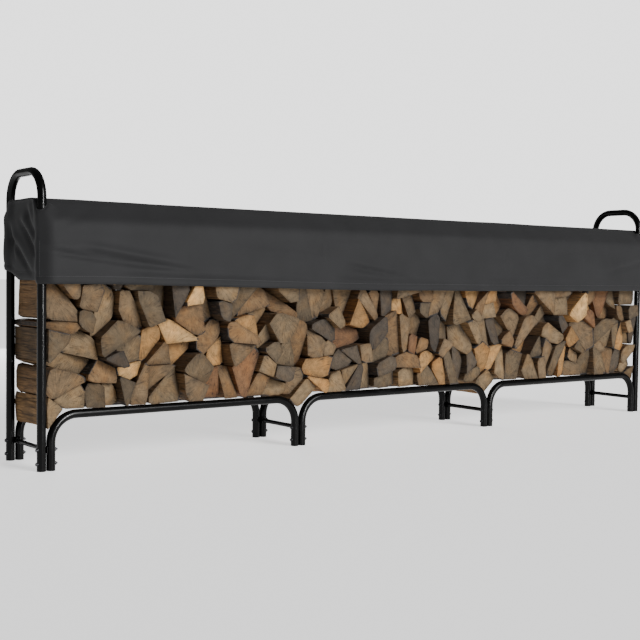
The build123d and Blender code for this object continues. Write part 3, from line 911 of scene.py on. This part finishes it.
# Long folds in the front: start X and Z, end X and Z, half width, depth
FRONT_FOLDS = (
    (-1.80, 0.842, -1.26, 0.776, 0.011, 0.0120),
    (-1.68, 0.850, -1.14, 0.768, 0.010, 0.0130),
    (-1.77, 0.935, -1.60, 1.010, 0.016, 0.0060),
    (-0.36, 0.806, 0.04, 0.748, 0.010, 0.0110),
    (-0.511, 0.905, -0.511, 0.815, 0.007, 0.0025),
    (0.664, 0.905, 0.664, 0.795, 0.007, 0.0025),
    (1.80, 0.860, 1.42, 0.790, 0.014, 0.0065),
    (-1.48, 0.752, -0.62, 0.727, 0.010, 0.0075),
    (-0.40, 0.744, 0.36, 0.722, 0.010, 0.0075),
    (0.46, 0.748, 1.20, 0.728, 0.010, 0.0060),
    (-1.05, 0.870, -0.45, 0.842, 0.020, 0.0040),
    (0.20, 0.880, 0.95, 0.850, 0.020, 0.0040),
    (1.12, 0.906, 1.58, 0.900, 0.008, 0.0022),
    (-0.44, 0.912, -0.06, 0.908, 0.008, 0.0018),
    (0.20, 0.935, 0.46, 0.932, 0.010, 0.0022),
)
# Folds in the end panels: start Y and Z, end Y and Z, half width, depth
END_FOLDS = (
    (0.03, 0.960, -0.165, 0.800, 0.013, 0.0110),
    (0.12, 0.900, -0.10, 0.745, 0.013, 0.0100),
    (-0.03, 1.010, -0.14, 0.870, 0.013, 0.0070),
    (0.15, 0.985, 0.08, 0.800, 0.012, 0.0080),
)
# A fold fades in and out over these shares of its length.
FOLD_IN = (-0.12, 0.18)
FOLD_OUT = (0.6, 1.12)
# The soft ridge above a fold: its distance and half width in fold widths, and its height in fold depths
RIDGE_AWAY, RIDGE_WIDTH, RIDGE_HEIGHT = 2.2, 1.8, 0.55

# The hem hangs low on the right, and rides up from this X to the left end, with a few waves.
HEM_LOW, HEM_RISE, HEM_WAVE = 9 * MM, 23 * MM, 2.5 * MM
RISE_X = 0.1
WAVES_ALONG, WAVES_ACROSS, WAVE_SEED = 2.3, 4, 3.1
# It rides up more across the left end: from the front corner to one Y, and from another Y to the back.
LEFT_END_X = -1.45
CORNER_RISE, CORNER_RISE_Y, LIFT_Y = 13 * MM, -0.11, 0.04

# Broad and fine waves of the cloth: their heights, and how many there are to a metre in X, Y and Z
BROAD_WAVE, BROAD_WAVES = 2.6 * MM, Vector((1.7, 6, 4))
FINE_WAVE, FINE_WAVES, FINE_SHIFT = 1.1 * MM, Vector((6, 9, 11)), Vector((0, 7, 0))
# Power that moves the belly's fullest height down
BELLY_POWER = 0.75
# The cloth lies clear of the logs above the shoulder, from and to these heights, and more at the shoulder.
REST_LIFT, REST_FROM, REST_TO = 3.2 * MM, -30 * MM, 20 * MM
SHOULDER_LIFT, SHOULDER_WIDTH = 4.5 * MM, 35 * MM
# The turned hem is thicker, over its depth divided by this, and its line of stitches sinks in.
HEM_ROLL, ROLL_SHARE = 2.0 * MM, 2.6
SEAM_SINK, SEAM_WIDTH = 1.5 * MM, 4 * MM
# Share of an end panel's width over which it turns in from each edge
END_TURN = 0.16
# Height of the stitches' middle above the cloth, a stitch's share of the pitch, and its coarse roundness
STITCH_LIFT = 0.5 * MM
STITCH_SHARE = 0.65
STITCH_SEGMENTS, STITCH_RINGS = 6, 4

# A slit is cut only in cloth this far below the shoulder or higher, and not in the upright end panels.
SLIT_BELOW = 10 * MM
UPRIGHT_SHARE = 0.7
# The cloth's pull at a post: how fast it grows to the outside and fades, and where it ends
PULL_TURN, PULL_WIDTH = 12 * MM, 22 * MM
PULL_RADII, PULL_BELOW = 4, 25 * MM


def fold_height(folds, across, z):
    """Height of the cloth from its long folds: a narrow valley with a soft ridge above it."""
    height = 0.0
    for start_a, start_z, end_a, end_z, width, depth in folds:
        along = Vector((end_a - start_a, end_z - start_z))
        reach = Vector((across - start_a, z - start_z))
        share = reach.dot(along) / along.length_squared
        aside = (along.x * reach.y - along.y * reach.x) / along.length
        if along.x < 0:
            aside = -aside
        fade = smooth(*FOLD_IN, share) * (1 - smooth(*FOLD_OUT, share))
        ridge = hill(aside - RIDGE_AWAY * width, RIDGE_WIDTH * width)
        height += depth * fade * (RIDGE_HEIGHT * ridge - hill(aside, width))
    return height


def rounded(points, radii, step):
    """A polyline with arcs in place of its inner corners."""
    path = [Vector(points[0])]
    for before, corner, after, radius in zip(points, points[1:], points[2:], radii):
        back = (Vector(before) - Vector(corner)).normalized()
        ahead = (Vector(after) - Vector(corner)).normalized()
        half = back.angle(ahead) / 2
        trim = radius / math.tan(half)
        centre = Vector(corner) + (back + ahead).normalized() * radius / math.sin(half)
        begin = Vector(corner) + back * trim - centre
        finish = Vector(corner) + ahead * trim - centre
        turns = max(2, round(begin.angle(finish) * radius / (step / 2)))
        path += [centre + begin.slerp(finish, i / turns).normalized() * radius for i in range(turns + 1)]
    path.append(Vector(points[-1]))
    return path


def even(path, step):
    """The same path as points about one step apart."""
    reach = [0.0]
    for a, b in zip(path, path[1:]):
        reach.append(reach[-1] + (b - a).length)
    stops = np.linspace(0, reach[-1], round(reach[-1] / step) + 1)
    return [Vector(p) for p in zip(*(np.interp(stops, reach, [p[axis] for p in path]) for axis in (0, 1)))]


class CoverCloth:
    """The cloth of the cover: one long sheet over the top and a panel sewn in at each end."""

    def __init__(self, settings):
        self.settings = settings
        self.points, self.ways, self.faces, self.cuts = [], [], [], []
        step = settings.mesh_step
        corners = [(-SIDE_Y, HEM_Z), (-SIDE_Y, SHOULDER_Z), (-CROWN_Y, CROWN_Z), (0, CROWN_Z)]
        half = even(rounded(corners, (SHOULDER_ROUND, CROWN_ROUND), step), step)
        self.section = half + [Vector((-p.x, p.y)) for p in half[-2::-1]]
        self.crown_row = next(i for i, p in enumerate(half) if p.x >= -CROWN_Y)
        turn = [(0, 0), (CORNER_X, 0), (END_X, SIDE_Y - CORNER_Y)]
        side = even(rounded(turn, (CORNER_ROUND,), step), step)
        self.plan = [Vector((-p.x, p.y)) for p in side[:0:-1]] + side
        self.sheet = [[self.sheet_point(column, row) for column in range(len(self.plan))]
                      for row in range(len(self.section))]
        self.add_faces(self.sheet, False)
        self.ends = [self.end_panel(0, -1), self.end_panel(-1, 1)]
        for panel, turned in zip(self.ends, (True, False)):
            self.add_faces(panel, turned)

    def hem_rise(self, spot):
        """How far the hem rides up: to the left, and most at the back of the left end."""
        wave = noise.noise(Vector((spot.x * WAVES_ALONG, WAVE_SEED, spot.y * WAVES_ACROSS)))
        rise = HEM_RISE * smooth(RISE_X, -END_X, spot.x) - HEM_LOW + HEM_WAVE * wave
        at_end = smooth(LEFT_END_X, -END_X, spot.x)
        rise += at_end * smooth(-CORNER_Y, CORNER_RISE_Y, spot.y) * CORNER_RISE
        return rise + at_end * smooth(LIFT_Y, CORNER_Y, spot.y) * self.settings.hem_lift

    def lay(self, spot, way, folds, across, sag=0.0):
        """Lay one point with the hem's rise, the belly, soft waves and folds, and return its number."""
        above = spot.z - HEM_Z
        drop = SHOULDER_Z - HEM_Z
        hem = self.settings.hem_depth
        spot = spot + Vector((0, 0, self.hem_rise(spot) * (1 - smooth(0, drop, above))))
        wave = BROAD_WAVE * noise.noise(spot * BROAD_WAVES)
        wave += FINE_WAVE * noise.noise(spot * FINE_WAVES + FINE_SHIFT)
        belly = self.settings.belly * math.sin(math.pi * min(1.0, above / drop) ** BELLY_POWER)
        rest = REST_LIFT * smooth(REST_FROM, REST_TO, above - drop)
        rest += SHOULDER_LIFT * hill(above - drop, SHOULDER_WIDTH)
        roll = HEM_ROLL * hill(above - hem / 2, hem / ROLL_SHARE)
        seam = SEAM_SINK * hill(above - hem, SEAM_WIDTH)
        upright = 1 - abs(way.z)
        lift = max(wave + belly, 0.0) + rest + roll - seam - sag
        lift += fold_height(folds, across, spot.z) * upright
        self.points.append(spot + way * lift)
        self.ways.append(way)
        return len(self.points) - 1

    def sheet_point(self, column, row):
        """Lay one point of the long sheet."""
        flat, spot = self.plan[column], self.section[row]
        outside = min(1.0, max(0.0, (abs(spot.x) - CROWN_Y) / (SIDE_Y - CROWN_Y)))
        y = math.copysign(abs(spot.x) - flat.y * outside, spot.x)
        run = (self.section[min(row + 1, len(self.section) - 1)] - self.section[max(row - 1, 0)]).normalized()
        bend = (self.plan[min(column + 1, len(self.plan) - 1)] - self.plan[max(column - 1, 0)]).normalized()
        way = Vector((bend.y * abs(run.y), -run.y * bend.x, run.x)).normalized()
        return self.lay(Vector((flat.x, y, spot.y)), way, FRONT_FOLDS, flat.x if spot.x < 0 else -flat.x)

    def end_panel(self, column, side):
        """Lay one end: rows from the hem to the crown, each from the front edge to the back edge."""
        last = len(self.section) - 1
        across = last - 2 * self.crown_row
        panel = []
        for row in range(self.crown_row):
            front, back = self.sheet[row][column], self.sheet[last - row][column]
            line = [front]
            for i in range(1, across):
                share = i / across
                edge = smooth(0, END_TURN, share) * smooth(0, END_TURN, 1 - share)
                base = self.points[front].lerp(self.points[back], share)
                spot = Vector((side * END_X, base.y, self.section[row].y))
                sag = self.settings.end_sag * edge
                number = self.lay(spot, Vector((side, 0, 0)), END_FOLDS, base.y, sag)
                self.points[number].x = edge * self.points[number].x + (1 - edge) * base.x
                line.append(number)
            panel.append(line + [back])
        panel.append([self.sheet[self.crown_row + i][column] for i in range(across + 1)])
        return panel

    def add_faces(self, rows, turned):
        """Join rows of points by quads, each with its place in the flat cut."""
        step = self.settings.mesh_step
        for v, (low, high) in enumerate(zip(rows, rows[1:])):
            for u in range(len(low) - 1):
                quad = [low[u], low[u + 1], high[u + 1], high[u]]
                cut = [(u * step, v * step), (u * step + step, v * step),
                       (u * step + step, v * step + step), (u * step, v * step + step)]
                self.faces.append(quad[::-1] if turned else quad)
                self.cuts.append(cut[::-1] if turned else cut)

    def mesh(self):
        """The cloth as a mesh, with its flat cut as UVs in metres."""
        mesh = bpy.data.meshes.new("fitted_cover")
        mesh.from_pydata(self.points, [], self.faces)
        mesh.uv_layers.new(name="cut").data.foreach_set("uv", np.array(self.cuts, np.float32).ravel())
        return mesh

    def seam_lines(self):
        """Lines for the stitches: round the hem, and up the seam beside each post."""
        row = round(self.settings.hem_depth / self.settings.mesh_step)
        last = len(self.section) - 1
        front, back = self.sheet[row], self.sheet[last - row]
        lines = [front, back, self.ends[0][row][1:-1], self.ends[1][row][1:-1]]
        top = next(i for i, p in enumerate(self.section) if p.y > SHOULDER_Z - SHOULDER_ROUND)
        for column in (1, -2):
            lines.append([self.sheet[i][column] for i in range(row, top)])
            lines.append([self.sheet[last - i][column] for i in range(row, top)])
        return [[self.points[i] + self.ways[i] * STITCH_LIFT for i in line] for line in lines]


def cut_slits(mesh, settings):
    """Open the cloth round each post and draw it up against the tube; return the smooth rims."""
    work = bmesh.new()
    work.from_mesh(mesh)
    whole = BVHTree.FromBMesh(work)
    radius = settings.slit_radius
    rims = []
    for x in (-POST_X, POST_X):
        for y in (-POST_Y, POST_Y):
            axis = Vector((x, y))

            def pull(spot):
                """Height that the cloth gains against the outside of the post."""
                away = spot.xy - axis
                outer = smooth(-PULL_TURN, PULL_TURN, away.y * math.copysign(1, y))
                return settings.slit_pull * outer * hill(away.length - radius, PULL_WIDTH)

            def on_rim(way):
                """Point of the rim in one direction, at the height of the uncut cloth."""
                spot = axis + way.normalized() * radius
                found = whole.ray_cast((spot.x, spot.y, CAD_HIGH.z), (0, 0, -1))[0]
                if found is None:
                    raise RuntimeError("A post stands outside the cover, so its slit can't be cut")
                return found

            inside = [f for f in work.faces if f.calc_center_median().z > SHOULDER_Z - SLIT_BELOW
                      and abs(f.normal.x) < UPRIGHT_SHARE
                      and (f.calc_center_median().xy - axis).length < radius]
            ragged = {v for f in inside for v in f.verts}
            bmesh.ops.delete(work, geom=inside, context="FACES")
            for vertex in ragged:
                if vertex.is_valid:
                    vertex.co = on_rim(vertex.co.xy - axis)
            for vertex in work.verts:
                near = (vertex.co.xy - axis).length < PULL_RADII * radius
                if near and vertex.co.z > SHOULDER_Z - PULL_BELOW:
                    vertex.co.z += pull(vertex.co)
            turns = [2 * math.pi * i / settings.binding_steps for i in range(settings.binding_steps)]
            rim = [on_rim(Vector((math.cos(turn), math.sin(turn)))) for turn in turns]
            rims.append((axis, [spot + Vector((0, 0, pull(spot))) for spot in rim]))
    bmesh.ops.recalc_face_normals(work, faces=work.faces)
    work.to_mesh(mesh)
    work.free()
    return rims


def binding_mesh(rims, radius, sides=8):
    """A sewn edge round every slit, as closed rings of tape."""
    points, faces = [], []
    for axis, rim in rims:
        first, count = len(points), len(rim)
        for spot in rim:
            out = (spot.xy - axis).normalized()
            for k in range(sides):
                turn = 2 * math.pi * k / sides
                reach = out * radius * math.cos(turn)
                points.append((spot.x + reach.x, spot.y + reach.y, spot.z + radius * math.sin(turn)))
        for i in range(count):
            for k in range(sides):
                a, b = first + i * sides, first + (i + 1) % count * sides
                faces.append((a + k, b + k, b + (k + 1) % sides, a + (k + 1) % sides))
    mesh = bpy.data.meshes.new("slit_bindings")
    mesh.from_pydata(points, [], faces)
    return mesh


def stitch_tree(sizes, thread):
    """Geometry Nodes: a row of stitches along lines of points, with their sizes as inputs."""
    tree, given = start_tree("cover_stitches", sizes)
    line = add_node(tree, "GeometryNodeMeshToCurve", {"Mesh": given["Geometry"]})
    spots = add_node(tree, "GeometryNodeCurveToPoints", {
        "Curve": line.outputs["Curve"], "Length": given["Pitch"]}, mode="LENGTH")
    ball = add_node(tree, "GeometryNodeMeshUVSphere", {
        "Segments": STITCH_SEGMENTS, "Rings": STITCH_RINGS, "Radius": 0.5})
    size = add_node(tree, "ShaderNodeCombineXYZ", {
        "X": given["Thickness"], "Y": given["Thickness"], "Z": given["Length"]})
    stitch = add_node(tree, "GeometryNodeTransform", {
        "Geometry": ball.outputs["Mesh"], "Scale": size.outputs[0]})
    end_tree(tree, spots.outputs["Points"], stitch.outputs["Geometry"], spots.outputs["Tangent"], thread)
    return tree


class LOGSTORE_OT_cover(bpy.types.Operator):
    """Lay the fitted cover over the upper part of the stack, then sew its hem, seams and slits"""
    bl_idname = "logstore.cover"
    bl_label = "Cover"

    def execute(self, context):
        settings = context.scene.logstore_cover
        cloth = CoverCloth(settings)
        fabric = coated_polyester(settings)
        mesh = cloth.mesh()
        rims = cut_slits(mesh, settings)
        cover = self.piece(context, mesh, fabric)
        wall = cover.modifiers.new("fabric", "SOLIDIFY")
        wall.thickness = settings.thickness
        wall.offset = -1
        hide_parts(*COVER_NODES)
        bindings = self.piece(context, binding_mesh(rims, settings.binding_radius), fabric)
        stitches = self.sew(cloth.seam_lines(), settings)
        return {"FINISHED"}

    def piece(self, context, mesh, material):
        """A smooth piece of the cover that rides on the rack."""
        mesh.shade_smooth()
        mesh.materials.append(material)
        made = bpy.data.objects.new(mesh.name, mesh)
        context.scene.collection.objects.link(made)
        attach(made, BODY)
        return made

    def sew(self, lines, settings):
        """Rows of stitches along the seams."""
        points, edges = [], []
        for line in lines:
            edges += [(i, i + 1) for i in range(len(points), len(points) + len(line) - 1)]
            points += line
        values = {"Pitch": settings.stitch_pitch, "Length": settings.stitch_pitch * STITCH_SHARE,
                  "Thickness": settings.stitch_thickness}
        tree = stitch_tree(values, sewing_thread(settings))
        made = grown_piece("cover_stitches", points, edges, {}, tree, values)
        made.data.shade_smooth()
        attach(made, BODY)
        return made


# Stage

# Places and sizes of the lights, in metres
KEY_PLACE = (2.8, -8.4, 4.2)
STRIP_PLACE = (-0.3, -6.0, 1.6)
STRIP_WIDTH, STRIP_HEIGHT = 0.3, 3.0
BACK_PLACE = (1.5, 6.0, 1.8)
BACK_SIZE = 3.0
# Width of the camera's sensor, in millimetres
SENSOR_WIDTH = 36.0


class LOGSTORE_OT_stage(bpy.types.Operator):
    """Set the floor, the soft studio light and the camera"""
    bl_idname = "logstore.stage"
    bl_label = "Stage"

    def execute(self, context):
        settings = context.scene.logstore_stage
        half = settings.floor_size / 2
        mesh = bpy.data.meshes.new("floor")
        corners = [(-half, -half, 0), (half, -half, 0), (half, half, 0), (-half, half, 0)]
        mesh.from_pydata(corners, [], [(0, 1, 2, 3)])
        mesh.materials.append(pale_floor(settings))
        floor = bpy.data.objects.new("floor", mesh)
        context.scene.collection.objects.link(floor)
        key = self.light(context, "key", "SUN", KEY_PLACE)
        key.data.energy, key.data.angle = settings.key_strength, settings.key_width
        # The strip streaks what is glossy and leaves matt surfaces as they are.
        strip = self.light(context, "strip", "AREA", STRIP_PLACE)
        strip.visible_diffuse = False
        strip.data.energy = settings.strip_power
        strip.data.shape, strip.data.size, strip.data.size_y = "RECTANGLE", STRIP_WIDTH, STRIP_HEIGHT
        back = self.light(context, "back", "AREA", BACK_PLACE)
        back.data.energy, back.data.size = settings.back_power, BACK_SIZE
        self.sky(context, settings)
        self.camera(context, settings)
        return {"FINISHED"}

    def light(self, context, name, kind, place):
        """One light aimed at the middle of the rack."""
        lamp = bpy.data.lights.new(name, kind)
        holder = bpy.data.objects.new(name, lamp)
        aim = (CAD_LOW + CAD_HIGH) / 2 - Vector(place)
        holder.matrix_world = Matrix.Translation(place) @ aim.to_track_quat("-Z", "Y").to_matrix().to_4x4()
        context.scene.collection.objects.link(holder)
        return holder

    def sky(self, context, settings):
        """Even light from all round, with a plain white behind the object."""
        world = bpy.data.worlds.new("studio")
        world.use_nodes = True
        context.scene.world = world
        tree = world.node_tree
        tree.nodes.clear()
        white = linear("#ffffff")
        seen = add_node(tree, "ShaderNodeLightPath").outputs["Is Camera Ray"]
        even_light = add_node(tree, "ShaderNodeBackground", {"Color": white, "Strength": settings.sky_light})
        backdrop = add_node(tree, "ShaderNodeBackground", {"Color": white, "Strength": settings.backdrop})
        mixed = add_node(tree, "ShaderNodeMixShader", {
            "Fac": seen, 1: even_light.outputs["Background"], 2: backdrop.outputs["Background"]})
        add_node(tree, "ShaderNodeOutputWorld", {"Surface": mixed.outputs["Shader"]})

    def camera(self, context, settings):
        """The camera at the photograph's viewing angle."""
        yaw, pitch, roll = settings.camera_yaw, settings.camera_pitch, settings.camera_roll
        ahead = Vector((math.cos(pitch) * math.sin(yaw), math.cos(pitch) * math.cos(yaw), math.sin(pitch)))
        right = Vector((math.cos(yaw), -math.sin(yaw), 0))
        up = right.cross(ahead)
        rolled_right = right * math.cos(roll) + up * math.sin(roll)
        rolled_up = up * math.cos(roll) - right * math.sin(roll)
        turn = Matrix((rolled_right, rolled_up, -ahead)).transposed().to_4x4()
        lens = bpy.data.cameras.new("camera")
        lens.lens = settings.camera_lens
        lens.sensor_width = SENSOR_WIDTH
        eye = bpy.data.objects.new("camera", lens)
        eye.matrix_world = Matrix.Translation(settings.camera_place) @ turn
        context.scene.collection.objects.link(eye)
        context.scene.camera = eye


class LOGSTORE_PT_panel(bpy.types.Panel):
    """The log store's pieces, in the order they are made"""
    bl_idname = "LOGSTORE_PT_panel"
    bl_label = "Log Store"
    bl_space_type = "VIEW_3D"
    bl_region_type = "UI"
    bl_category = "Log Store"

    def draw(self, context):
        for operator in OPERATORS:
            self.layout.operator(operator.bl_idname)


OPERATORS = (LOGSTORE_OT_steel_frame, LOGSTORE_OT_bolts, LOGSTORE_OT_firewood, LOGSTORE_OT_cover,
             LOGSTORE_OT_stage)
SETTINGS = {"logstore_steel": SteelSettings, "logstore_firewood": FirewoodSettings,
            "logstore_cover": CoverSettings, "logstore_stage": StageSettings}


def register():
    """Make the settings, operators and panel known to Blender."""
    for name, group in SETTINGS.items():
        bpy.utils.register_class(group)
        setattr(bpy.types.Scene, name, bpy.props.PointerProperty(type=group))
    for operator in OPERATORS:
        bpy.utils.register_class(operator)
    bpy.utils.register_class(LOGSTORE_PT_panel)


def unregister():
    """Take them away again."""
    bpy.utils.unregister_class(LOGSTORE_PT_panel)
    for operator in reversed(OPERATORS):
        bpy.utils.unregister_class(operator)
    for name, group in SETTINGS.items():
        delattr(bpy.types.Scene, name)
        bpy.utils.unregister_class(group)


def main():
    """Make every piece in order."""
    register()
    bpy.ops.logstore.steel_frame()
    bpy.ops.logstore.bolts()
    bpy.ops.logstore.firewood()
    bpy.ops.logstore.cover()
    bpy.ops.logstore.stage()


if __name__ == "__main__":
    main()
